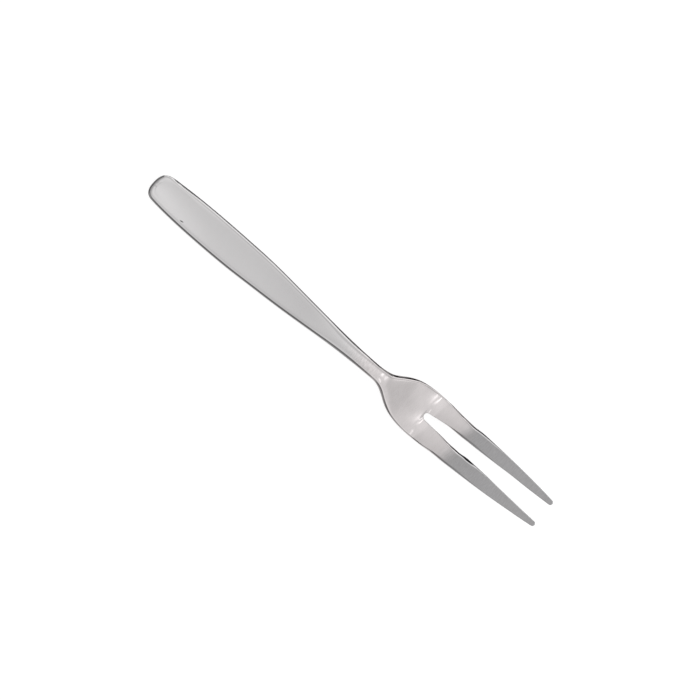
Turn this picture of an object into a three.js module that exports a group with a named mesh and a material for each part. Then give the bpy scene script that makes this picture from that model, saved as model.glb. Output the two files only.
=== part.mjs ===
// A small two-tined fork, blanked, coined and polished from one sheet of stainless steel.
// It lies face up on a table. X runs from the handle's end to the tips, Z is up, and the origin is
// on the table under the middle of the fork. All sizes are in millimetres.

import * as THREE from "three";
import { mergeVertices } from "three/addons/utils/BufferGeometryUtils.js";

// Lengths along the fork.
const HANDLE_LENGTH = 85.4; // handle's end to the narrowest part of the neck
const HEAD_LENGTH = 19.2; // narrowest part of the neck to the root of the slot
const TINE_LENGTH = 45.4; // root of the slot to the tips
const HANDLE_WIDEST_AT = 24; // handle's end to the widest part of the handle

// Widths.
const HANDLE_WIDTH = 10.85; // at its widest
const END_WIDTH = 8.9; // of the handle just behind the corners of its end
const NECK_WIDTH = 4.4; // at its narrowest
const HEAD_WIDTH = 15.3; // beside the root of the slot
const SLOT_ROOT_WIDTH = 2.3;
const TIP_WIDTH = 1.6;
const TIP_GAP = 6.5; // between the two tips

// Thickness of the sheet, which is coined thinner towards the tips.
const HANDLE_THICKNESS = 1.8;
const NECK_THICKNESS = 2.2;
const HEAD_THICKNESS = 1.7;
const TIP_THICKNESS = 1.1;
const EDGE_RADIUS = 0.45; // every edge is rounded over

// How the outline runs on from each of these places before it bends away.
const END_REACH = 2.9; // from the middle of the handle's end towards a corner
const CORNER_DEPTH = 3; // handle's end to where a corner has run out
const CORNER_RUN = 2; // from there back towards the handle's end
const FLARE_RUN = 3.5; // from there on towards the widest part of the handle
const END_FLARE = THREE.MathUtils.degToRad(8.5); // of the handle's side there
const WIDEST_RUN = 10; // from the widest part of the handle towards its end
const HANDLE_RUN = 27.8; // from the widest part of the handle towards the neck
const NECK_RUN_BACK = 19; // from the narrowest part of the neck towards the handle
const NECK_RUN_ON = 8.5; // from the narrowest part of the neck towards the head
const SHOULDER_RUN = 13; // from the widest part of the head towards the neck
const HEAD_RUN = 1; // from the widest part of the head towards the tips
const TIP_RUN = 16; // from a tip back along the tine's outer side
const TINE_TAPER = THREE.MathUtils.degToRad(7.4); // of the tine's outer side, at the tip

// The underside, as it lies on the table: turned up a hair at the handle's end, flat where the
// handle rests, arched up to the neck, flat again at the heel of the head, and lifted at the tips.
const END_LIFT = 0.3; // under the handle's end
const REST_FROM = 14; // handle's end to where the handle comes to rest on the table
const REST_LENGTH = 10.2; // of the flat that it rests on
const ARCH_HEIGHT = 1.8; // under the neck, at the crest of the arch
const HEEL_PAST_ROOT = 1.4; // root of the slot to the heel
const HEEL_LENGTH = 4.5; // of the flat that the heel rests on
const TIP_LIFT = 8.6; // under the tips
const TIP_SLOPE = THREE.MathUtils.degToRad(16);
const REST_RUN = 26.8; // from the flat towards the crest
const CREST_RUN_BACK = 25.5; // from the crest towards the handle's end
const CREST_RUN_ON = 3.2; // from the crest towards the heel
const HEEL_RUN_BACK = 3; // from the heel towards the crest
const HEEL_RUN_ON = 7.5; // from the heel towards the tips
const LIFT_RUN = 18.7; // from the tips back along the tines

// Steps of the mesh.
const CORNER_STEPS = 8;
const END_STEPS = 10;
const HANDLE_STEPS = 24;
const SHOULDER_STEPS = 16;
const ROOT_STEPS = 6;
const SLOT_STEPS = 28;
const TIP_STEPS = 5;
const ROUND_STEPS = 3; // over a quarter turn of a rounded edge
const FACE_STEPS = 2; // across half of the handle, or across a tine

const QUARTER = Math.PI / 2;
const vec = (x, y) => new THREE.Vector2(x, y);
const vec3 = (x, y, z) => new THREE.Vector3(x, y, z);

const restTo = REST_FROM + REST_LENGTH;
const crestAt = HANDLE_LENGTH;
const rootAt = HANDLE_LENGTH + HEAD_LENGTH;
const heelAt = rootAt + HEEL_PAST_ROOT;
const heelTo = heelAt + HEEL_LENGTH;
const overallLength = rootAt + TINE_LENGTH;
const rootRadius = SLOT_ROOT_WIDTH / 2;
const tipRadius = TIP_WIDTH / 2;
const edgeRadius = Math.min(EDGE_RADIUS, 0.45 * TIP_THICKNESS, 0.8 * tipRadius, 0.8 * rootRadius);

// Outline of one half in plan, from the handle's end round the tip to the root of the slot. It
// runs with the metal on its right, so the inward side of a curve is always to the right of it.
const corner = vec(CORNER_DEPTH, END_WIDTH / 2);
const widest = vec(HANDLE_WIDEST_AT, HANDLE_WIDTH / 2);
const neck = vec(HANDLE_LENGTH, NECK_WIDTH / 2);
const head = vec(rootAt, HEAD_WIDTH / 2);
const rootCentre = vec(rootAt + rootRadius, 0);
const tipCentre = vec(overallLength - tipRadius, (TIP_GAP + TIP_WIDTH) / 2);

// The side of the slot touches the round of the root and the round of the tip.
const across = tipCentre.clone().sub(rootCentre);
const slotSlope = across.angle() - Math.asin((rootRadius + tipRadius) / across.length());

const tipOuterRound = new THREE.EllipseCurve(
  tipCentre.x, tipCentre.y, tipRadius, tipRadius, QUARTER - TINE_TAPER, 0, true,
);
const tipInnerRound = new THREE.EllipseCurve(
  tipCentre.x, tipCentre.y, tipRadius, tipRadius, 0, slotSlope - QUARTER, true,
);
const rootRound = new THREE.EllipseCurve(
  rootCentre.x, rootCentre.y, rootRadius, rootRadius, QUARTER + slotSlope, Math.PI, false,
);
const tineEnd = tipOuterRound.getPoint(0);

const handleCorner = new THREE.CubicBezierCurve(
  vec(0, 0),
  vec(0, END_REACH),
  vec(corner.x - CORNER_RUN, corner.y - CORNER_RUN * Math.tan(END_FLARE)),
  corner,
);
const handleEnd = new THREE.CubicBezierCurve(
  corner,
  vec(corner.x + FLARE_RUN, corner.y + FLARE_RUN * Math.tan(END_FLARE)),
  vec(widest.x - WIDEST_RUN, widest.y),
  widest,
);
const handleSide = new THREE.CubicBezierCurve(
  widest, vec(widest.x + HANDLE_RUN, widest.y), vec(neck.x - NECK_RUN_BACK, neck.y), neck,
);
const shoulder = new THREE.CubicBezierCurve(
  neck, vec(neck.x + NECK_RUN_ON, neck.y), vec(head.x - SHOULDER_RUN, head.y), head,
);
const tineSide = new THREE.CubicBezierCurve(
  head,
  vec(head.x + HEAD_RUN, head.y),
  vec(tineEnd.x - TIP_RUN, tineEnd.y + TIP_RUN * Math.tan(TINE_TAPER)),
  tineEnd,
);
const slotSide = new THREE.LineCurve(tipInnerRound.getPoint(1), rootRound.getPoint(0));

// Underside in side view: distance along the fork, and height.
const undersideCurves = [
  new THREE.QuadraticBezierCurve(vec(0, END_LIFT), vec(REST_FROM / 2, 0), vec(REST_FROM, 0)),
  new THREE.LineCurve(vec(REST_FROM, 0), vec(restTo, 0)),
  new THREE.CubicBezierCurve(
    vec(restTo, 0),
    vec(restTo + REST_RUN, 0),
    vec(crestAt - CREST_RUN_BACK, ARCH_HEIGHT),
    vec(crestAt, ARCH_HEIGHT),
  ),
  new THREE.CubicBezierCurve(
    vec(crestAt, ARCH_HEIGHT),
    vec(crestAt + CREST_RUN_ON, ARCH_HEIGHT),
    vec(heelAt - HEEL_RUN_BACK, 0),
    vec(heelAt, 0),
  ),
  new THREE.LineCurve(vec(heelAt, 0), vec(heelTo, 0)),
  new THREE.CubicBezierCurve(
    vec(heelTo, 0),
    vec(heelTo + HEEL_RUN_ON, 0),
    vec(overallLength - LIFT_RUN, TIP_LIFT - LIFT_RUN * Math.tan(TIP_SLOPE)),
    vec(overallLength, TIP_LIFT),
  ),
];

// Where along a curve that always advances in x it reaches the given x.
function parameterAt(curve, x) {
  let low = 0;
  let high = 1;
  for (let step = 0; step < 40; step += 1) {
    const middle = (low + high) / 2;
    if (curve.getPoint(middle).x < x) {
      low = middle;
    } else {
      high = middle;
    }
  }
  return (low + high) / 2;
}

function undersideAt(x) {
  const curve = undersideCurves.find((each) => x <= each.getPoint(1).x) ?? undersideCurves.at(-1);
  return curve.getPoint(parameterAt(curve, x)).y;
}

// The sheet's thickness eases from each of these places to the next.
const thicknessStations = [
  { at: HANDLE_WIDEST_AT, thickness: HANDLE_THICKNESS },
  { at: HANDLE_LENGTH, thickness: NECK_THICKNESS },
  { at: rootAt, thickness: HEAD_THICKNESS },
  { at: overallLength, thickness: TIP_THICKNESS },
];

function thicknessAt(x) {
  let thickness = HANDLE_THICKNESS;
  for (let i = 1; i < thicknessStations.length; i += 1) {
    const from = thicknessStations[i - 1];
    const to = thicknessStations[i];
    const share = THREE.MathUtils.smoothstep(x, from.at, to.at);
    thickness += share * (to.thickness - from.thickness);
  }
  return thickness;
}

// A place on the outline, with the direction into the metal.
function edgeAt(curve, t) {
  const tangent = curve.getTangent(t);
  return { point: curve.getPoint(t), inward: vec(tangent.y, -tangent.x) };
}

// Where the face meets the rounded edge.
function faceEdge(edge) {
  return edge.point.clone().addScaledVector(edge.inward, edgeRadius);
}

// Points on the two faces of the sheet, sunk below the face by the given drop.
function topPoint(plan, drop = 0) {
  return vec3(plan.x, plan.y, undersideAt(plan.x) + thicknessAt(plan.x) - drop);
}

function bottomPoint(plan, drop = 0) {
  return vec3(plan.x, plan.y, undersideAt(plan.x) + drop);
}

// The rounded edge at one place, from the top face down to the underside.
function rim(edge) {
  const upper = [];
  const lower = [];
  for (let i = 0; i <= ROUND_STEPS; i += 1) {
    const turn = (QUARTER * i) / ROUND_STEPS;
    const inset = edgeRadius * (1 - Math.sin(turn));
    const drop = edgeRadius * (1 - Math.cos(turn));
    const plan = edge.point.clone().addScaledVector(edge.inward, inset);
    upper.push(topPoint(plan, drop));
    lower.unshift(bottomPoint(plan, drop));
  }
  return [...upper, ...lower];
}

// One section of a half: out over the top face, round the outer edge, back along the underside.
// It starts and ends above and below `start`, on the middle line or at the inner edge of a tine.
function openSection(start, outer) {
  const end = faceEdge(outer);
  const faceTop = [];
  const faceBottom = [];
  for (let i = 0; i < FACE_STEPS; i += 1) {
    const plan = start.clone().lerp(end, i / FACE_STEPS);
    faceTop.push(topPoint(plan));
    faceBottom.unshift(bottomPoint(plan));
  }
  return [...faceTop, ...rim(outer), ...faceBottom];
}

// A section of a tine goes on round the inner edge and closes.
function closedSection(inner, outer) {
  const innerRim = rim(inner).reverse();
  return [...openSection(faceEdge(inner), outer), ...innerRim.slice(1, -1)];
}

// Sections of the handle and head, whose inner ends lie on the middle line. Between the neck and
// the slot they close up a little along that line, to leave room for the rounded root.
function handleSections() {
  const edges = [edgeAt(handleCorner, 0)];
  const sides = [
    [handleCorner, CORNER_STEPS],
    [handleEnd, END_STEPS],
    [handleSide, HANDLE_STEPS],
    [shoulder, SHOULDER_STEPS],
  ];
  for (const [curve, steps] of sides) {
    for (let i = 1; i <= steps; i += 1) {
      edges.push(edgeAt(curve, i / steps));
    }
  }
  const headRoom = (HEAD_LENGTH - edgeRadius) / HEAD_LENGTH;
  return edges.map((edge) => {
    const x = faceEdge(edge).x;
    const pastNeck = Math.max(0, x - HANDLE_LENGTH);
    return openSection(vec(x - pastNeck * (1 - headRoom), 0), edge);
  });
}

// Sections of one tine, from the root of the slot to the tip.
function tineSections() {
  const inners = [];
  for (let i = 0; i <= ROOT_STEPS; i += 1) {
    inners.push(edgeAt(rootRound, 1 - i / ROOT_STEPS));
  }
  for (let i = 1; i <= SLOT_STEPS; i += 1) {
    inners.push(edgeAt(slotSide, 1 - i / SLOT_STEPS));
  }
  const slotEnd = inners.at(-1).point.x;
  const sections = inners.map((inner) => {
    const share = (inner.point.x - rootAt) / (slotEnd - rootAt);
    const outerAt = THREE.MathUtils.lerp(rootAt, tineEnd.x, share);
    return closedSection(inner, edgeAt(tineSide, parameterAt(tineSide, outerAt)));
  });
  for (let i = 1; i <= TIP_STEPS; i += 1) {
    const share = i / TIP_STEPS;
    sections.push(closedSection(edgeAt(tipInnerRound, 1 - share), edgeAt(tipOuterRound, share)));
  }
  return sections;
}

// Triangles between neighbouring sections, with their outer side up on the top face.
function loft(sections, closed) {
  const triangles = [];
  for (let i = 1; i < sections.length; i += 1) {
    const back = sections[i - 1];
    const front = sections[i];
    const spans = closed ? back.length : back.length - 1;
    for (let j = 0; j < spans; j += 1) {
      const next = (j + 1) % back.length;
      triangles.push([back[j], front[j], front[next]], [back[j], front[next], back[next]]);
    }
  }
  return triangles;
}

function forkGeometry() {
  const half = [...loft(handleSections(), false), ...loft(tineSections(), true)];
  const centred = half.map((triangle) =>
    triangle.map((point) => vec3(point.x - overallLength / 2, point.y, point.z)),
  );
  const mirrored = centred.map((triangle) =>
    triangle.map((point) => vec3(point.x, -point.y, point.z)).reverse(),
  );
  const soup = new THREE.BufferGeometry().setFromPoints([...centred, ...mirrored].flat());
  const merged = mergeVertices(soup, 1e-4);

  // Sections come to a point at the handle's end and at the tips, where triangles fold flat.
  const index = merged.index.array;
  const kept = [];
  for (let i = 0; i < index.length; i += 3) {
    const [a, b, c] = [index[i], index[i + 1], index[i + 2]];
    if (a !== b && b !== c && c !== a) {
      kept.push(a, b, c);
    }
  }
  merged.setIndex(kept);
  merged.computeVertexNormals();
  return merged;
}

const steel = new THREE.MeshStandardMaterial({
  name: "steel",
  color: new THREE.Color(0.6, 0.59, 0.58),
  metalness: 1,
  roughness: 0.2,
});

const fork = new THREE.Mesh(forkGeometry(), steel);
fork.name = "fork";

const part = new THREE.Group();
part.name = "two_tined_fork";
part.add(fork);

export default part;
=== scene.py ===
import math

import bmesh
import bpy
import numpy as np
from mathutils.geometry import interpolate_bezier
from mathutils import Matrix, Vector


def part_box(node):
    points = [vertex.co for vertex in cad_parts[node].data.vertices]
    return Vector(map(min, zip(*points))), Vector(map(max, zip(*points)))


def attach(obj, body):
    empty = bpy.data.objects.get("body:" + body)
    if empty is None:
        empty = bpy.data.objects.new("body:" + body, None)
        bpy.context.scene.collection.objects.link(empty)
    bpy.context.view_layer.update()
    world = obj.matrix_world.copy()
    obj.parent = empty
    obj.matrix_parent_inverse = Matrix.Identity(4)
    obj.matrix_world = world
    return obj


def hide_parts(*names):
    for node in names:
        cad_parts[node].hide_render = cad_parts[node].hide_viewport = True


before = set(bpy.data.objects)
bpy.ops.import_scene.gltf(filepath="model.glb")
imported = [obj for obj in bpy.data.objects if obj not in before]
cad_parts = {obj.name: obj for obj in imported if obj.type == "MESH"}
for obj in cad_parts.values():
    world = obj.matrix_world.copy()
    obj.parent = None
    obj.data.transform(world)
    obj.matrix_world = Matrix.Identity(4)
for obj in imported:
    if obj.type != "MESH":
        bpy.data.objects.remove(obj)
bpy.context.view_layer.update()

# The fork
# One blank of stainless steel, punched out flat with its two tines and pressed to a shallow curve.
# Its edges are eased by tumbling and the whole is polished, so nothing on it is joined or fixed.
MM = 0.001
fork_low, fork_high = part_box("fork")
LENGTH = (fork_high.x - fork_low.x) / MM
HANDLE_LENGTH = 85.4
SLOT_ROOT = 104.6
HANDLE_WIDEST_AT = 24.0
HALF_HANDLE = 5.42
HALF_NECK = 2.2
HALF_HEAD = 7.65
ROOT_RADIUS = 1.15
TIP_RADIUS = 0.8
HALF_TIP_GAP = 3.25
TINE_FALL = math.radians(7.4)


def curve(points, steps):
    """Points along a cubic curve given by its ends and their two handles."""
    start, start_handle, end_handle, end = points
    return np.array(interpolate_bezier(start, start_handle, end_handle, end, steps + 1))


def ease(x, start, end):
    """Rises from 0 at start to 1 at end, level at both."""
    t = np.clip((x - start) / (end - start), 0.0, 1.0)
    return t * t * (3.0 - 2.0 * t)


def changed(s, value, changes):
    """A size along the fork: its value at the handle's end, and changes by where they start and are full."""
    return value + sum(change * ease(s, start, full) for start, full, change in changes)


# The outline of half the blank, in millimetres from the handle's end and from the middle line.
CORNER = (3.0, 4.5)
WIDEST = (HANDLE_WIDEST_AT, HALF_HANDLE)
NECK = (HANDLE_LENGTH, HALF_NECK)
HEAD = (SLOT_ROOT, HALF_HEAD)
handle_corner = curve([(0, 0), (0, 2.9), (1.0, 4.2), CORNER], steps=9)
handle_end = curve([CORNER, (6.5, 5.025), (13, HALF_HANDLE), WIDEST], steps=8)
handle_side = curve([WIDEST, (51.8, HALF_HANDLE), (66.4, HALF_NECK), NECK], steps=16)
shoulder = curve([NECK, (93.6, HALF_NECK), (91.6, HALF_HEAD), HEAD], steps=36)
tip_centre = np.array([LENGTH - TIP_RADIUS, HALF_TIP_GAP + TIP_RADIUS])


def facing(turn):
    """Unit vector turned from the tine's outer side round to its point."""
    return np.array([math.sin(turn), math.cos(turn)])


HEAD_STRAIGHT = 1
TINE_STRAIGHT = 16
tine_end = tip_centre + TIP_RADIUS * facing(TINE_FALL)
tine_bend = (tine_end[0] - TINE_STRAIGHT, tine_end[1] + TINE_STRAIGHT * math.tan(TINE_FALL))
tine_side = curve([HEAD, (SLOT_ROOT + HEAD_STRAIGHT, HALF_HEAD), tine_bend, tuple(tine_end)], steps=60)
head_side = np.concatenate([shoulder[:-1], tine_side])

# The slot has a round root and straight sides that meet the round tips as tangents.
root_centre = np.array([SLOT_ROOT + ROOT_RADIUS, 0.0])
reach = tip_centre - root_centre
slot_slope = math.atan2(reach[1], reach[0]) - math.asin((TIP_RADIUS + ROOT_RADIUS) / math.hypot(*reach))

# The top seen from the side, by its slope in degrees at distances from the handle's end: the end turns up
# a hair, the handle rises to the neck, the bowl drops to the table and the tines rise to their tips.
HANDLE_SLOPES = [(0, -2.0), (5, -1.6), (10, -0.95), (20, 0.0), (30, 1.15), (40, 1.7), (50, 2.9),
                 (60, 3.7), (65, 3.4), (70, 2.3), (74, 1.4), (77, 1.0), (84, 0.6)]
BOWL_SLOPES = [(86.2, -1.8), (87.5, -4.35), (88.5, -4.95), (89.05, -5.65), (89.6, -6.05), (90.3, -6.9),
               (91.2, -7.5), (96, -8.0), (98.3, -6.55), (100, -6.3), (102, -6.1), (103.05, -5.8),
               (103.9, -5.4), (105.3, -4.45), (105.75, -3.9), (106.3, -2.0)]
TINE_SLOPES = [(106.9, 1.4), (107.5, 2.0), (108.2, 2.1), (110, 2.45), (112, 2.8), (114, 3.5),
               (117.5, 6.2), (125, 10.8), (135, 14.0), (150, 16.2)]
HANDLE_THICKNESS = 1.8
THICKNESS_CHANGES = [(HANDLE_WIDEST_AT, HANDLE_LENGTH, 0.4), (HANDLE_LENGTH, SLOT_ROOT, -0.5),
                     (SLOT_ROOT, LENGTH, -0.6)]
STATION_STEP = 0.1
SMOOTHED_OVER = 7


def thickness(s):
    """Thickness of the blank, which swells to the neck and thins to the tips."""
    return changed(s, HANDLE_THICKNESS, THICKNESS_CHANGES)


stations = np.arange(-1.0, LENGTH + 1.0, STATION_STEP)
slopes = np.interp(stations, *np.transpose([*HANDLE_SLOPES, *BOWL_SLOPES, *TINE_SLOPES]))
slopes = np.pad(slopes, SMOOTHED_OVER // 2, mode="edge")
slopes = np.convolve(slopes, np.ones(SMOOTHED_OVER) / SMOOTHED_OVER, mode="valid")
heights = np.cumsum(np.tan(np.radians(slopes))) * STATION_STEP
heights -= np.min(heights - thickness(stations))


def top(s):
    """Height of the top face on its highest line."""
    return float(np.interp(s, stations, heights))


def from_end(s):
    """A distance from the handle's end as an x in metres."""
    return (s - LENGTH / 2) * MM


def to_end(x):
    """An x in metres as a distance from the handle's end."""
    return x / MM + LENGTH / 2


# The eased edge: a narrow slope round the outline, with a soft bend between it and the face. It is finer
# at the neck, beside the slot's root and towards the tips, and fuller at the shoulders and where the tines
# bend up. The punch leaves the slot's own edge finer still near its root.
EDGE_WIDTH = 0.55
EDGE_DEPTH = 0.38
EDGE_CHANGES = [(78, 84, -0.2), (86, 89, 0.2), (88, 91, 0.3), (94, 98, -0.3), (94, 104, -0.4),
                (110, 114, 0.3), (121, 125, -0.3), (124, 132, -0.4)]
EDGE_BEND = 1.1
EDGE_BEND_CHANGES = [(66, 82, -0.6), (88, 93, 0.1), (98, 103, -0.1), (114, 119, 0.5), (126, 131, -0.5)]
SLOT_EDGE = 0.3
SLOT_EDGE_CHANGES = [(109, 118, 0.7)]


def edge_size(s):
    """How full the eased edge is, as a share of its width and depth on the handle."""
    return changed(s, 1.0, EDGE_CHANGES)


# The face: a shallow dish in the handle, deepest near its end, a crown on the neck and two full tines.
DISH = 0.1
DISH_CHANGES = [(2, 36, -0.065), (45, 65, -0.035)]
CROWN_CHANGES = [(60, 78, 0.05), (92, 103, -0.05)]
FULLNESS_CHANGES = [(92, 107, 0.126), (106, 110, -0.04)]
TINE_MIDDLE = 4.05
LEAST_HALF = 0.001


def face_drop(s, y, half):
    """How far the face lies under its highest line."""
    share = abs(y) / max(half, LEAST_HALF)
    dish = changed(s, DISH, DISH_CHANGES) * max(1 - share ** 2, 0.0)
    crown = changed(s, 0.0, CROWN_CHANGES) * share ** 2
    lobe = math.sin(math.pi * (abs(y) - TINE_MIDDLE) / (2 * TINE_MIDDLE)) ** 2
    return float(dish + crown + changed(s, 0.0, FULLNESS_CHANGES) * lobe)


def place(point, drop):
    """A point of the top face in the object's frame, in metres."""
    s, y = point
    return (from_end(s), y * MM, (top(s) - drop) * MM)


def inward(points):
    """Unit vectors square to a line of points, on its right."""
    step = np.gradient(points, axis=0)
    normals = np.stack([step[:, 1], -step[:, 0]], axis=1)
    return normals / np.linalg.norm(normals, axis=1, keepdims=True)


def eased_edge(edge, to_face, share=1.0):
    """The outline point, the top of its slope and the far side of the bend, with the drop of each."""
    size = edge_size(edge[0]) * share
    bend = changed(edge[0], EDGE_BEND, EDGE_BEND_CHANGES)
    slope_top = edge + to_face * EDGE_WIDTH * size
    bend_end = edge + to_face * (EDGE_WIDTH + bend) * size
    return edge, slope_top, bend_end, EDGE_DEPTH * size


# Rows of points across half the handle and bowl, from the middle line to the outline.
ACROSS = (0.0, 0.4, 0.8, 1.0)
LAST_ROW_BACK = 0.65
last_row_at = SLOT_ROOT - LAST_ROW_BACK
near_root = [(last_row_at, np.interp(last_row_at, *shoulder.T))]
body_edge = np.concatenate([handle_corner, handle_end[1:], handle_side[1:], shoulder[1:-1], near_root])
body_inward = inward(body_edge)
body_inward[0] = (1, 0)
body_rows = []
for point, to_face in zip(body_edge, body_inward):
    edge, slope_top, bend_end, depth = eased_edge(point, to_face)
    half = bend_end[1]
    face = [(bend_end[0], half * share) for share in ACROSS]
    row = [place(p, face_drop(*p, half)) for p in face]
    rim = face_drop(*slope_top, half)
    body_rows.append([*row, place(slope_top, rim), place(edge, rim + depth)])


def tine_row(inner_edge, inner_to_face, outer_edge, outer_to_face):
    """A row of points across one tine, from the slot's edge to the outer edge."""
    slot_share = changed(inner_edge[0], SLOT_EDGE, SLOT_EDGE_CHANGES)
    edge_in, slope_in, bend_in, depth_in = eased_edge(inner_edge, inner_to_face, slot_share)
    edge_out, slope_out, bend_out, depth_out = eased_edge(outer_edge, outer_to_face)
    face = [bend_in + (bend_out - bend_in) * share for share in ACROSS]
    row = [place(p, face_drop(*p, HALF_HEAD)) for p in face]
    rim_in = face_drop(*bend_in, HALF_HEAD)
    rim_out = face_drop(*bend_out, HALF_HEAD)
    return [place(edge_in, rim_in + depth_in), place(slope_in, rim_in), *row,
            place(slope_out, rim_out), place(edge_out, rim_out + depth_out)]


head_inward = inward(head_side)


def on_head_side(s):
    """Point on the head's outer side at a distance from the handle's end, and the way in from it."""
    point = [s, np.interp(s, head_side[:, 0], head_side[:, 1])]
    to_face = [np.interp(s, head_side[:, 0], head_inward[:, i]) for i in (0, 1)]
    return np.array(point), np.array(to_face)


# Rows across one tine: round the slot's root, along the tine and round its tip.
ROOT_ROWS, TINE_ROWS, TIP_ROWS = 4, 36, 4
FIRST_ROW_BACK = 0.2
ROOT_ROW_STEP = 0.55
tine_rows = []
for i in range(ROOT_ROWS + 1):
    to_face = -facing(math.pi / 2 + (math.pi / 2 - slot_slope) * i / ROOT_ROWS)
    outer_at = SLOT_ROOT - FIRST_ROW_BACK + ROOT_ROW_STEP * i
    tine_rows.append(tine_row(root_centre + ROOT_RADIUS * to_face, to_face, *on_head_side(outer_at)))
slot_start = root_centre + ROOT_RADIUS * to_face
slot_end = tip_centre - TIP_RADIUS * to_face
for i in range(1, TINE_ROWS + 1):
    share = i / TINE_ROWS
    slot_point = slot_start + (slot_end - slot_start) * share
    outer_row_at = outer_at + (tine_end[0] - outer_at) * share
    tine_rows.append(tine_row(slot_point, to_face, *on_head_side(outer_row_at)))
for i in range(1, TIP_ROWS + 1):
    inner = facing(math.pi - slot_slope + (slot_slope - math.pi / 2) * i / TIP_ROWS)
    outer = facing(TINE_FALL + (math.pi / 2 - TINE_FALL) * i / TIP_ROWS)
    inner_tip, outer_tip = (tip_centre + TIP_RADIUS * out for out in (inner, outer))
    tine_rows.append(tine_row(inner_tip, -inner, outer_tip, -outer))


def pick_front(mesh, places):
    """Selects only the edges that join the points at these places."""
    bpy.ops.mesh.select_all(action="DESELECT")
    edit = bmesh.from_edit_mesh(mesh)
    spots = {tuple(round(c / MM, 3) for c in p) for p in places}
    for edge in edit.edges:
        if all(tuple(round(c / MM, 3) for c in v.co) in spots for v in edge.verts):
            edge.select_set(True)
    bmesh.update_edit_mesh(mesh)


def draw_out(mesh, places):
    """Extrudes the selected row of edges and moves its new points, from the middle outwards, to places."""
    bpy.ops.mesh.extrude_region_move()
    edit = bmesh.from_edit_mesh(mesh)
    front = sorted((v for v in edit.verts if v.select), key=lambda v: (round(v.co.y / MM, 4), -v.co.x))
    for vertex, spot in zip(front, places):
        vertex.co = spot
    bmesh.update_edit_mesh(mesh)


bpy.ops.object.select_all(action="DESELECT")
bpy.ops.mesh.primitive_grid_add(x_subdivisions=1, y_subdivisions=5, size=2 * MM)
fork = bpy.context.object
fork.name = fork.data.name = "polished_fork"
bpy.ops.object.mode_set(mode="EDIT")
bpy.ops.mesh.select_mode(type="EDGE")
edit = bmesh.from_edit_mesh(fork.data)
corners = sorted(edit.verts, key=lambda v: (round(v.co.x / MM, 3), v.co.y))
for vertex, spot in zip(corners, [*body_rows[0], *body_rows[1]]):
    vertex.co = spot
bmesh.update_edit_mesh(fork.data)
pick_front(fork.data, body_rows[1])
for row in body_rows[2:]:
    draw_out(fork.data, row)

# Where the slot starts, two more points are drawn out of the middle one for the slot's own edge, and the
# row with them is carried on as one tine.
root_row = tine_rows[0]
draw_out(fork.data, root_row[2:])
for nearer, farther in ((root_row[2], root_row[1]), (root_row[1], root_row[0])):
    bpy.ops.mesh.select_all(action="DESELECT")
    edit = bmesh.from_edit_mesh(fork.data)
    middle = min(edit.verts, key=lambda v: sum((a - b) ** 2 for a, b in zip(v.co, nearer)))
    middle.select_set(True)
    bmesh.update_edit_mesh(fork.data)
    bpy.ops.mesh.select_mode(type="VERT")
    step = [b - a for a, b in zip(nearer, farther)]
    bpy.ops.mesh.extrude_vertices_move(TRANSFORM_OT_translate={"value": step})
    bpy.ops.mesh.select_mode(type="EDGE")
pick_front(fork.data, root_row)
for row in tine_rows[1:]:
    draw_out(fork.data, row)
MERGED_WITHIN = 0.002 * MM
bpy.ops.mesh.select_all(action="SELECT")
bpy.ops.mesh.remove_doubles(threshold=MERGED_WITHIN)
bpy.ops.object.mode_set(mode="OBJECT")

other_half = fork.modifiers.new("other_half", "MIRROR")
other_half.use_axis = (False, True, False)
other_half.merge_threshold = MERGED_WITHIN
bpy.ops.object.modifier_apply(modifier=other_half.name)

# This blank is a hair out of true, and dressing and use have marked it. Each mark is given by where it
# starts, is full, fades and ends, in millimetres from the handle's end, and by its size.
# The handle bows, the head and its shoulders lean to the right and the slot lies left of the middle.
HANDLE_BOW = (33, 40, 42, 55, 0.12)
HEAD_LEAN = (87.5, 91, 110, 121, 0.13)
SHOULDER_LEAN = (87, 91.5, 92.5, 98, 0.16)
SLOT_OFFSET = (110, 119, 132, 144, 0.24)
SLOT_OFFSET_FADES = (1.8, 7.0)
# The right tine leans in at its tip, the right side of the bowl hangs lower and the handle's end is askew.
RIGHT_TINE_LEAN = [(132, 142, 0.09)]
BOWL_TWIST = (96, 101, 101, 112, 0.03)
END_SKEW = 0.04
END_SKEW_FADES = (2, 8)
# The left corner of the handle and the right side of the neck are a little fuller than the other side.
FULL_CORNER = (2.4, 3.8, 4.4, 7, 0.12)
FULL_NECK = (72, 77, 85, 88, 0.06)
FULL_FROM_MIDDLE = (0.0, 2.0)
# The root of the slot lies nearer the tips, more so on its right side than on its left.
ROOT_STRETCH = (103, 104.2, 105.5, 108)
ROOT_SIDES = (-0.8, 0.8)
ROOT_SHIFT = (0.22, 0.08)
ROOT_SHIFT_FADES = (1.2, 2.0)
# Dressing left shallow hollows, and swells where the depth is negative, in the edges of the tines.
LEFT_INNER = [(105, 112, 112, 118.5, 0.5), (119, 124, 131, 136, -0.09)]
LEFT_OUTER = [(109, 116, 119, 121.8, 0.27)]
RIGHT_INNER = [(112, 116.5, 120.3, 122, 0.36), (121, 123, 131, 134, -0.1)]
RIGHT_OUTER = [(109, 113.5, 113.5, 118, 0.2)]
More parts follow.
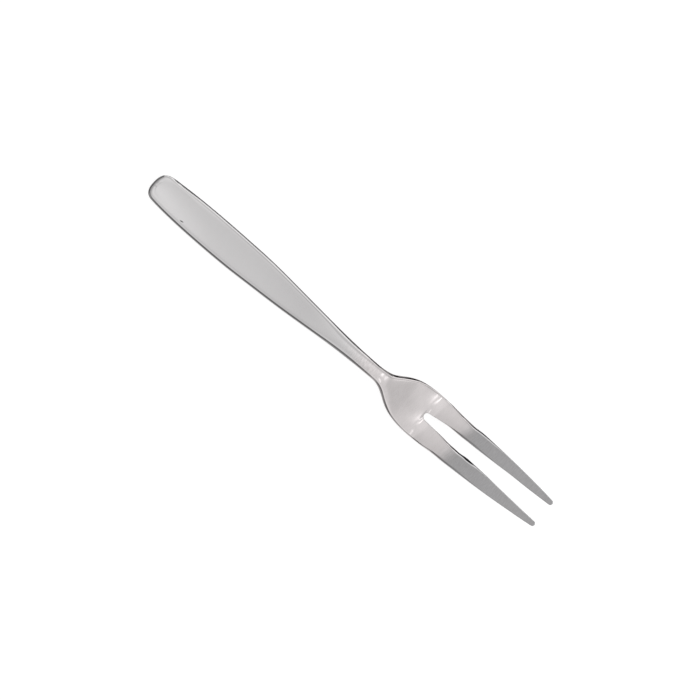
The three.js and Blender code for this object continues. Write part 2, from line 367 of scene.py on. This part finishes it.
# The eased edge is worn flatter at the left corner, beside the slot's root on the left and at the right
# shoulder. It is wider on the left near the handle's end, and dressed deeper where the left tine's outer
# hollow ends and on a short length of the right tine's inner edge.
WORN_CORNER = (0.4, 1.2, 3.6, 5.4, 0.7)
WORN_HEAD = (97, 100, 108, 112, 0.5)
WORN_SHOULDER = (89, 92, 97, 101, 0.3)
WIDE_SIDE = (3.5, 5.5, 10, 14)
WIDE_SIDE_IN = 0.25
WIDE_SIDE_UP = 0.08
KINK = (115.5, 117.5, 118.5, 120.5, 0.14)
FLAW = (121.2, 122.3, 124.6, 126.2)
FLAW_WIDTH = 0.3
FLAW_DEPTH = 0.24
# What tells points of the eased edge from those of the face: how far they lie under the top, how far in
# from the outline, or how far across a tine as a share of its width.
FOOT_BELOW = 0.3
SLOPE_TOP = (0.3, 0.9)
ON_EDGE = 0.01
NEAR_SLOT = 0.12


def on_stretch(s, start, full, fading, end, amount):
    """An amount that eases in from start to full and out again from fading to end."""
    return amount * (ease(s, start, full) - ease(s, fading, end))


def hollow(s, hollows):
    """Depth of an edge's hollows at a distance from the handle's end."""
    return sum(on_stretch(s, *one) for one in hollows)


for vertex in fork.data.vertices:
    s = to_end(vertex.co.x)
    y = abs(vertex.co.y) / MM
    inner_y = slot_start[1] + max(s - slot_start[0], 0.0) * math.tan(slot_slope)
    outer_y = on_head_side(s)[0][1]
    from_slot = np.clip((y - inner_y) / (outer_y - inner_y), 0, 1)
    from_edge = np.interp(s, *body_edge.T) - y
    from_middle = ease(y, *FULL_FROM_MIDDLE)
    below_top = top(s) - vertex.co.z / MM
    depth = EDGE_DEPTH * edge_size(s)
    on_outer_edge = from_slot > 1 - ON_EDGE
    shift = on_stretch(s, *SLOT_OFFSET) * (1 - ease(y, *SLOT_OFFSET_FADES)) + on_stretch(s, *HANDLE_BOW)
    shift -= on_stretch(s, *HEAD_LEAN) + on_stretch(s, *SHOULDER_LEAN)
    lift = 0.0
    if vertex.co.y > 0:
        shift += hollow(s, LEFT_INNER) * (1 - from_slot) - hollow(s, LEFT_OUTER) * from_slot
        shift += on_stretch(s, *FULL_CORNER) * from_middle
        if below_top > FOOT_BELOW:
            lift += on_stretch(s, *WORN_CORNER) * below_top
        if on_outer_edge:
            lift += on_stretch(s, *WORN_HEAD) * depth - on_stretch(s, *KINK)
        if SLOPE_TOP[0] < from_edge < SLOPE_TOP[1]:
            shift -= on_stretch(s, *WIDE_SIDE, WIDE_SIDE_IN)
            lift += on_stretch(s, *WIDE_SIDE, WIDE_SIDE_UP)
    else:
        shift -= hollow(s, RIGHT_INNER) * (1 - from_slot) - hollow(s, RIGHT_OUTER) * from_slot
        shift += changed(s, 0.0, RIGHT_TINE_LEAN) - on_stretch(s, *FULL_NECK) * from_middle
        lift -= on_stretch(s, *BOWL_TWIST) * ease(y, 0.0, HALF_HEAD)
        if on_outer_edge:
            lift += on_stretch(s, *WORN_SHOULDER) * depth
        if from_slot < ON_EDGE:
            lift -= on_stretch(s, *FLAW, FLAW_DEPTH)
        elif from_slot < NEAR_SLOT:
            shift -= on_stretch(s, *FLAW, FLAW_WIDTH)
    root_shift = np.interp(vertex.co.y / MM, ROOT_SIDES, ROOT_SHIFT) * (1 - ease(y, *ROOT_SHIFT_FADES))
    root_shift = float(on_stretch(s, *ROOT_STRETCH, root_shift))
    vertex.co.x += root_shift * MM + END_SKEW * vertex.co.y * (1 - ease(s, *END_SKEW_FADES))
    vertex.co.z += (lift + top(s + root_shift) - top(s)) * MM
    vertex.co.y += shift * MM

# The underside is the same sheet drawn down, its edge eased upwards as much as the top's is downwards.
bpy.ops.object.mode_set(mode="EDIT")
bpy.ops.mesh.select_mode(type="FACE")
bpy.ops.mesh.select_all(action="SELECT")
bpy.ops.mesh.normals_make_consistent(inside=False)
bpy.ops.mesh.extrude_region_move()
edit = bmesh.from_edit_mesh(fork.data)
for vertex in edit.verts:
    if vertex.select:
        s = to_end(vertex.co.x)
        drop = top(s) - vertex.co.z / MM
        vertex.co.z = (top(s) - float(thickness(s)) + drop) * MM
bmesh.update_edit_mesh(fork.data)

# Two more rows of points on the side wall, close to its upper and lower edge, keep these edges crisp.
CRISP = 0.12 * MM
SAME_SPOT = 0.0001 * MM
LEAST_WALL = 0.05 * MM


def above(a, b):
    """Whether two points lie straight above each other."""
    return abs(a.x - b.x) + abs(a.y - b.y) < SAME_SPOT


bpy.ops.mesh.select_mode(type="EDGE")
bpy.ops.mesh.select_all(action="DESELECT")
edit = bmesh.from_edit_mesh(fork.data)
first_new = len(edit.verts)
for edge in edit.edges:
    a, b = (v.co for v in edge.verts)
    edge.select_set(above(a, b) and abs(a.z - b.z) > LEAST_WALL)
bmesh.update_edit_mesh(fork.data)
bpy.ops.mesh.subdivide(number_cuts=2)
edit = bmesh.from_edit_mesh(fork.data)
edit.verts.ensure_lookup_table()
for vertex in edit.verts[first_new:]:
    for edge in vertex.link_edges:
        end = edge.other_vert(vertex)
        if end.index < first_new and above(end.co, vertex.co):
            crisp = CRISP * edge_size(to_end(end.co.x))
            vertex.co.z = end.co.z + math.copysign(crisp, vertex.co.z - end.co.z)
bmesh.update_edit_mesh(fork.data)
bpy.ops.mesh.select_all(action="SELECT")
bpy.ops.mesh.normals_make_consistent(inside=False)
bpy.ops.object.mode_set(mode="OBJECT")
rounding = fork.modifiers.new("rounding", "SUBSURF")
rounding.levels = rounding.render_levels = 2
bpy.ops.object.modifier_apply(modifier=rounding.name)
bpy.ops.object.shade_smooth()

# Polished steel: fine lines across the neck, bowl and tines from the polishing wheel, a smoother handle, a
# faint warm tint where the bowl was pressed, and a small nick near the handle's end whose dent is shown only
# by painted shade, a near-black spot in the steel's colour.
HANDLE_STEEL = (0.600, 0.588, 0.591, 1.0)
BOWL_STEEL = (0.612, 0.580, 0.579, 1.0)
TINE_STEEL = (0.602, 0.592, 0.599, 1.0)
HEAD_STARTS = (72, 86)
TINES_START = (114, 122)
# The nick's near-black colour is painted shade standing in for its dent, not a colour of the steel.
NICK_PAINTED_SHADE = (0.08, 0.08, 0.08, 1.0)
NICK_AT = (13.9, -3.5)
NICK_SIZE = (0.75, 0.2)
NICK_CORE = 0.5
NICK_TURN = math.radians(10.0)
# The lines and smudges, each by how far it is drawn out along the axes, its scale and its detail.
WHEEL_LINES = ((1.0, 0.2, 0.2), 3600.0, 2.0)
BROAD_LINES = ((1.0, 0.45, 0.45), 800.0, 3.0)
SMUDGES = ((1.0, 1.0, 1.0), 150.0, 3.0)
LINE_RANGE = (0.25, 0.75)
SMUDGE_RANGE = (0.3, 0.7)
# How much the lines lighten and darken the steel, and their share on the handle, the neck and the tines.
FINE_LEVEL = 0.06
BROAD_LEVEL = 0.025
FINE_AMONG_BROAD = 0.35
HANDLE_LINES = 0.25
NECK_STARTS = (70, 81)
NECK_ENDS = (83, 88)
NECK_LINES = 1.9
TINE_LINES = 0.8
# Depths of the lines and of the slow waves in the polish, in metres, and how satin the steel is.
LINE_DEPTH = 0.5e-7
WAVE_DEPTH = 6.0e-6
HANDLE_SATIN = 0.09
HEAD_SATIN = 0.06
SMUDGE_SATIN = 0.015
steel = bpy.data.materials.new("polished_steel")
steel.use_nodes = True
tree = steel.node_tree
shader = tree.nodes["Principled BSDF"]
shader.inputs["Metallic"].default_value = 1.0
coordinates = tree.nodes.new("ShaderNodeTexCoord")
position = tree.nodes.new("ShaderNodeSeparateXYZ")
tree.links.new(coordinates.outputs["Object"], position.inputs["Vector"])


def stretched_noise(stretch, scale, detail):
    """Noise on the object's own coordinates, drawn out along the axes whose stretch is small."""
    mapping = tree.nodes.new("ShaderNodeMapping")
    mapping.inputs["Scale"].default_value = stretch
    noise = tree.nodes.new("ShaderNodeTexNoise")
    noise.inputs["Scale"].default_value = scale
    noise.inputs["Detail"].default_value = detail
    tree.links.new(coordinates.outputs["Object"], mapping.inputs["Vector"])
    tree.links.new(mapping.outputs["Vector"], noise.inputs["Vector"])
    return noise.outputs["Fac"]


def ranged(value, low, high, to_low, to_high, smooth=False):
    """A value carried from one range to another, held at both ends."""
    node = tree.nodes.new("ShaderNodeMapRange")
    node.interpolation_type = "SMOOTHSTEP" if smooth else "LINEAR"
    for name, number in (("From Min", low), ("From Max", high), ("To Min", to_low), ("To Max", to_high)):
        node.inputs[name].default_value = number
    tree.links.new(value, node.inputs["Value"])
    return node.outputs["Result"]


def calculated(operation, *inputs):
    """A math node on sockets and plain numbers."""
    node = tree.nodes.new("ShaderNodeMath")
    node.operation = operation
    for socket, value in zip(node.inputs, inputs):
        if isinstance(value, (int, float)):
            socket.default_value = value
        else:
            tree.links.new(value, socket)
    return node.outputs["Value"]


def mixed_colour(share, first, second, blend="MIX"):
    """Two colours mixed by a share; each is a socket or four numbers."""
    node = tree.nodes.new("ShaderNodeMix")
    node.data_type = "RGBA"
    node.blend_type = blend
    colour_sockets = [socket for socket in node.inputs if socket.type == "RGBA"]
    for socket, value in zip(colour_sockets, (first, second)):
        if isinstance(value, tuple):
            socket.default_value = value
        else:
            tree.links.new(value, socket)
    factor = node.inputs["Factor"]
    if isinstance(share, float):
        factor.default_value = share
    else:
        tree.links.new(share, factor)
    return next(socket for socket in node.outputs if socket.type == "RGBA")


def past(start, full, amount=1.0):
    """An amount that eases in along the fork, between two distances from the handle's end."""
    return ranged(position.outputs["X"], from_end(start), from_end(full), 0.0, amount, smooth=True)


in_head = past(*HEAD_STARTS)
in_tines = past(*TINES_START)
wheel_lines = stretched_noise(*WHEEL_LINES)
broad_lines = stretched_noise(*BROAD_LINES)
smudges = stretched_noise(*SMUDGES)
line_share = ranged(in_head, 0.0, 1.0, HANDLE_LINES, 1.0)
neck_share = calculated("SUBTRACT", past(*NECK_STARTS, NECK_LINES), past(*NECK_ENDS, NECK_LINES))
fine_share = calculated("MULTIPLY_ADD", in_tines, TINE_LINES, neck_share)
tint = mixed_colour(in_tines, mixed_colour(in_head, HANDLE_STEEL, BOWL_STEEL), TINE_STEEL)
fine_level = ranged(wheel_lines, *LINE_RANGE, -FINE_LEVEL, FINE_LEVEL)
broad_level = ranged(broad_lines, *LINE_RANGE, -BROAD_LEVEL, BROAD_LEVEL)
line_level = calculated("MULTIPLY_ADD", fine_level, FINE_AMONG_BROAD, broad_level)
level = calculated("MULTIPLY_ADD", line_level, line_share, 1.0)
level = calculated("MULTIPLY_ADD", fine_level, fine_share, level)
shaded = mixed_colour(1.0, tint, level, blend="MULTIPLY")

# The nick: a small oval of painted shade, near black, laid over the steel's colour where the dent would be.
nick_frame = tree.nodes.new("ShaderNodeMapping")
nick_frame.vector_type = "TEXTURE"
nick_frame.inputs["Location"].default_value = (from_end(NICK_AT[0]), NICK_AT[1] * MM, 0.0)
nick_frame.inputs["Rotation"].default_value = (0.0, 0.0, NICK_TURN)
nick_frame.inputs["Scale"].default_value = (NICK_SIZE[0] * MM, NICK_SIZE[1] * MM, 1.0)
tree.links.new(coordinates.outputs["Object"], nick_frame.inputs["Vector"])
nick_length = tree.nodes.new("ShaderNodeVectorMath")
nick_length.operation = "LENGTH"
tree.links.new(nick_frame.outputs["Vector"], nick_length.inputs[0])
nick_painted_shade = ranged(nick_length.outputs["Value"], NICK_CORE, 1.0, 1.0, 0.0, smooth=True)
tree.links.new(mixed_colour(nick_painted_shade, shaded, NICK_PAINTED_SHADE), shader.inputs["Base Color"])

line_height = calculated("MULTIPLY", wheel_lines, line_share)
line_bump = tree.nodes.new("ShaderNodeBump")
line_bump.inputs["Strength"].default_value = 1.0
line_bump.inputs["Distance"].default_value = LINE_DEPTH
tree.links.new(line_height, line_bump.inputs["Height"])
wave_bump = tree.nodes.new("ShaderNodeBump")
wave_bump.inputs["Strength"].default_value = 1.0
wave_bump.inputs["Distance"].default_value = WAVE_DEPTH
tree.links.new(smudges, wave_bump.inputs["Height"])
tree.links.new(wave_bump.outputs["Normal"], line_bump.inputs["Normal"])
tree.links.new(line_bump.outputs["Normal"], shader.inputs["Normal"])
satin = ranged(in_head, 0.0, 1.0, HANDLE_SATIN, HEAD_SATIN)
satin = calculated("ADD", satin, ranged(smudges, *SMUDGE_RANGE, -SMUDGE_SATIN, SMUDGE_SATIN))
tree.links.new(satin, shader.inputs["Roughness"])
fork.data.materials.clear()
fork.data.materials.append(steel)
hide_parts("fork")
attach(fork, "root")

# The table
# A wide sheet of matt white paper under the fork, which keeps the fork's own soft shadow.
# Its white is set for what sees it straight or by reflection, so the light stays at a plain level.
PAPER = (0.9, 0.9, 0.9, 1.0)
PAPER_SIZE = 8.0
PAPER_GLOW = 1.56
PAPER_GLOW_SHARE = 0.5
bpy.ops.mesh.primitive_plane_add(size=PAPER_SIZE, location=(0, 0, fork_low.z))
paper = bpy.context.object
paper.name = "white_paper"
white = bpy.data.materials.new("white_paper")
white.use_nodes = True
tree = white.node_tree
tree.nodes.clear()
output = tree.nodes.new("ShaderNodeOutputMaterial")
matt = tree.nodes.new("ShaderNodeBsdfDiffuse")
matt.inputs["Color"].default_value = PAPER
glow = tree.nodes.new("ShaderNodeEmission")
glow.inputs["Strength"].default_value = PAPER_GLOW
paths = tree.nodes.new("ShaderNodeLightPath")
seen = calculated("MAXIMUM", paths.outputs["Is Camera Ray"], paths.outputs["Is Glossy Ray"])
seen = calculated("MAXIMUM", seen, paths.outputs["Is Transmission Ray"])
surface = tree.nodes.new("ShaderNodeMixShader")
tree.links.new(calculated("MULTIPLY", seen, PAPER_GLOW_SHARE), surface.inputs["Fac"])
tree.links.new(matt.outputs["BSDF"], surface.inputs[1])
tree.links.new(glow.outputs["Emission"], surface.inputs[2])
tree.links.new(surface.outputs["Shader"], output.inputs["Surface"])
paper.data.materials.append(white)

# The light
# A white tent round the table, brighter on the far side of the fork, with two narrow lamps over the tips'
# end, a grey wall at the handle's end and a white skirting. Dark gaps above the skirting draw the fork's
# edges, and a bright strip on its left lights up their slopes.

# Each list gives angles in degrees with the light, or in a gap the darkness, at each. They are counted
# from straight up, along the fork towards its tips, across it to its left side or any way down, or else
# round the table from the tips. Light across the fork counts only where the light along it is bright.
OVERHEAD = 20
TO_TABLE = 90
ALL_ROUND = 180
TENT_WHITE = (1.0, 1.0, 1.0, 1.0)
ALONG = [(-13.6, 0.575), (-10.2, 0.885), (-9, 0.90), (-7.2, 0.92), (-6.6, 0.93), (-4.8, 0.955),
         (-3.9, 0.995), (-3.4, 1.03), (-3, 1.07), (-2.4, 1.095), (8, 1.08), (11, 1.06), (12, 1.05),
         (12.4, 1.04), (12.7, 0.99), (13.1, 0.935), (13.4, 0.89), (13.8, 0.85), (14.3, 0.83)]
ALONG_SLANT = 0.19
ALONG_LOW = [(-90, 0.43), (-60, 0.43), (-54, 1.22), (-48, 1.48), (-40, 0.87), (-32, 1.0), (-25, 1.0),
             (-20, 0.955), (-15, 0.955), (-12, 1.0), (30, 1.0), (60, 0.72)]
ACROSS_LIGHT = [(-90, 0.75), (-40, 0.95), (-20, 1.1), (-12, 1.05), (-8, 0.97), (-5, 0.905), (-3, 0.915),
                (2.3, 1.0), (4, 1.015), (5.2, 1.035), (7.8, 1.035), (9, 0.78), (19, 0.76), (24, 1.15),
                (30, 1.3), (55, 1.4), (90, 1.2)]
BRIGHT_FROM_TO = (0.58, 0.88)
LAMP_A = [(7.3, 0.0), (7.5, 1.0), (8.4, 1.0), (8.65, 0.0)]
LAMP_A_SPAN = [(-4.6, 0.0), (-4.1, 0.95), (-2.9, 0.9), (-2.5, 0.3), (-2.1, 0.7), (-1.4, 0.7),
               (-0.9, 0.0), (1.6, 0.0), (3.3, 0.25), (4.3, 0.65), (5.4, 1.0), (8.2, 1.0), (9.2, 0.0)]
LAMP_B = [(10.0, 0.0), (10.25, 0.75), (10.8, 0.75), (11.1, 0.27), (11.9, 0.0)]
LAMP_B_SPAN = [(0.8, 0.0), (2.3, 0.3), (3.3, 0.5), (4.3, 0.85), (5.2, 1.0), (7.9, 1.0), (9.0, 0.0)]
LAMP_LIGHT = 0.9
STRIP = [(22, 0.0), (24, 1.0), (62, 1.0), (75, 0.0)]
STRIP_ROUND = [(110, 0.0), (117, 1.0), (146, 1.0), (154, 0.0)]
STRIP_LIGHT = 0.45
GAP_NEAR = [(22, 0.0), (25, 0.74), (44, 0.77), (56, 0.5), (70, 0.22), (90, 0.1)]
GAP_NEAR_ROUND = [(-146, 0.0), (-138, 0.47), (-112, 0.47), (-103, 0.8), (-98, 1.0), (-93.5, 1.0),
                  (-91.5, 0.7), (-80, 0.7), (-60, 0.0)]
GAP_END = [(31, 0.0), (36, 0.87), (44, 0.87), (56, 0.5), (70, 0.22), (90, 0.1)]
GAP_END_ROUND = [(-180, 1.0), (-155, 1.0), (-140, 0.75), (-132, 0.0), (148, 0.0), (155, 1.0),
                 (180, 1.0)]
GAP_FAR = [(51, 0.0), (56, 1.0)]
GAP_FAR_ROUND = [(88, 0.0), (90.5, 0.85), (94.5, 0.85), (96, 0.95), (101.5, 0.95), (103.5, 0.2),
                 (106, 0.0)]
GAP_TALL = [(36, 0.0), (42, 1.0)]
GAP_TALL_ROUND = [(95.5, 0.0), (100, 0.97), (112, 0.97), (117, 0.0)]
GAP_NECK = [(33, 0.0), (39, 1.0)]
GAP_NECK_ROUND = [(78, 0.0), (82, 0.6), (88.5, 0.6), (90, 0.95), (92.8, 0.95), (94, 0.3), (95.5, 0.0)]
GAPS = [(GAP_NEAR, GAP_NEAR_ROUND), (GAP_END, GAP_END_ROUND), (GAP_FAR, GAP_FAR_ROUND),
        (GAP_TALL, GAP_TALL_ROUND), (GAP_NECK, GAP_NECK_ROUND)]
SKIRTING = (math.sin(math.radians(5.4)), math.sin(math.radians(6.2)))
tent = bpy.data.worlds.new("white_tent")
bpy.context.scene.world = tent
tent.use_nodes = True
tree = tent.node_tree
background = tree.nodes["Background"]
direction = tree.nodes.new("ShaderNodeTexCoord")
parts = tree.nodes.new("ShaderNodeSeparateXYZ")
tree.links.new(direction.outputs["Generated"], parts.inputs["Vector"])


def by_angle(angle, stops, span):
    """A value from 0 to 2 off a list of angles in degrees, all within the span on each side of 0."""
    ramp = tree.nodes.new("ShaderNodeValToRGB")
    elements = ramp.color_ramp.elements
    while len(elements) < len(stops):
        elements.new(1.0)
    for element, (degrees, value) in zip(elements, stops):
        element.position = 0.5 + 0.5 * degrees / span
        element.color = (value / 2, value / 2, value / 2, 1.0)
    turned = calculated("MULTIPLY_ADD", angle, 0.5 / math.radians(span), 0.5)
    tree.links.new(turned, ramp.inputs["Fac"])
    return calculated("MULTIPLY", ramp.outputs["Color"], 2.0)


along = calculated("ARCTAN2", parts.outputs["X"], parts.outputs["Z"])
across = calculated("ARCTAN2", parts.outputs["Y"], parts.outputs["Z"])
upright = calculated("ARCCOSINE", parts.outputs["Z"])
round_table = calculated("ARCTAN2", parts.outputs["Y"], parts.outputs["X"])


def patch(height_stops, round_stops):
    """A patch of the tent, by its angles from straight up and round the table."""
    in_height = by_angle(upright, height_stops, TO_TABLE)
    return calculated("MULTIPLY", in_height, by_angle(round_table, round_stops, ALL_ROUND))


def lamp(along_stops, across_stops):
    """A lamp overhead, by its angles along and across the fork."""
    in_length = by_angle(along, along_stops, OVERHEAD)
    return calculated("MULTIPLY", in_length, by_angle(across, across_stops, OVERHEAD))


slanted = calculated("MULTIPLY_ADD", across, ALONG_SLANT, along)
along_light = by_angle(slanted, ALONG, OVERHEAD)
bright = ranged(along_light, *BRIGHT_FROM_TO, 0.0, 1.0)
across_light = calculated("SUBTRACT", by_angle(across, ACROSS_LIGHT, TO_TABLE), 1.0)
walls = calculated("MULTIPLY", along_light, calculated("MULTIPLY_ADD", across_light, bright, 1.0))
walls = calculated("MULTIPLY", walls, by_angle(slanted, ALONG_LOW, TO_TABLE))
gap = patch(*GAPS[0])
for other_gap in GAPS[1:]:
    gap = calculated("MAXIMUM", gap, patch(*other_gap))
walls = calculated("MULTIPLY", walls, calculated("SUBTRACT", 1.0, gap))
walls = calculated("MULTIPLY_ADD", patch(STRIP, STRIP_ROUND), STRIP_LIGHT, walls)
lamps = calculated("ADD", lamp(LAMP_A, LAMP_A_SPAN), lamp(LAMP_B, LAMP_B_SPAN))
tent_light = calculated("MULTIPLY_ADD", lamps, LAMP_LIGHT, walls)
above_skirting = ranged(parts.outputs["Z"], *SKIRTING, 0.0, 1.0)
strength = calculated("MULTIPLY_ADD", calculated("SUBTRACT", tent_light, 1.0), above_skirting, 1.0)
tree.links.new(strength, background.inputs["Strength"])
background.inputs["Color"].default_value = TENT_WHITE

# The camera
# A long lens about 1.1 m away, almost straight above the fork and turned so that the fork lies from the
# upper left of the picture to its lower right.
AZIMUTH = math.radians(40.68)
ELEVATION = math.radians(87.0)
DISTANCE = 1.1374
AIM = (1.0 * MM, 0.0, 3.0 * MM)
FOCAL_LENGTH = 200.0
SENSOR_WIDTH = 36.0
NEAREST_SEEN = 0.01
lens = bpy.data.cameras.new("camera")
lens.lens = FOCAL_LENGTH
lens.sensor_width = SENSOR_WIDTH
lens.clip_start = NEAREST_SEEN
camera = bpy.data.objects.new("camera", lens)
bpy.context.scene.collection.objects.link(camera)
sideways = math.cos(ELEVATION)
back = (math.sin(AZIMUTH) * sideways, -math.cos(AZIMUTH) * sideways, math.sin(ELEVATION))
camera.location = [aim + DISTANCE * b for aim, b in zip(AIM, back)]
camera.rotation_euler = (math.pi / 2 - ELEVATION, 0.0, AZIMUTH)
bpy.context.scene.camera = camera
bpy.context.scene.view_settings.view_transform = "Standard"
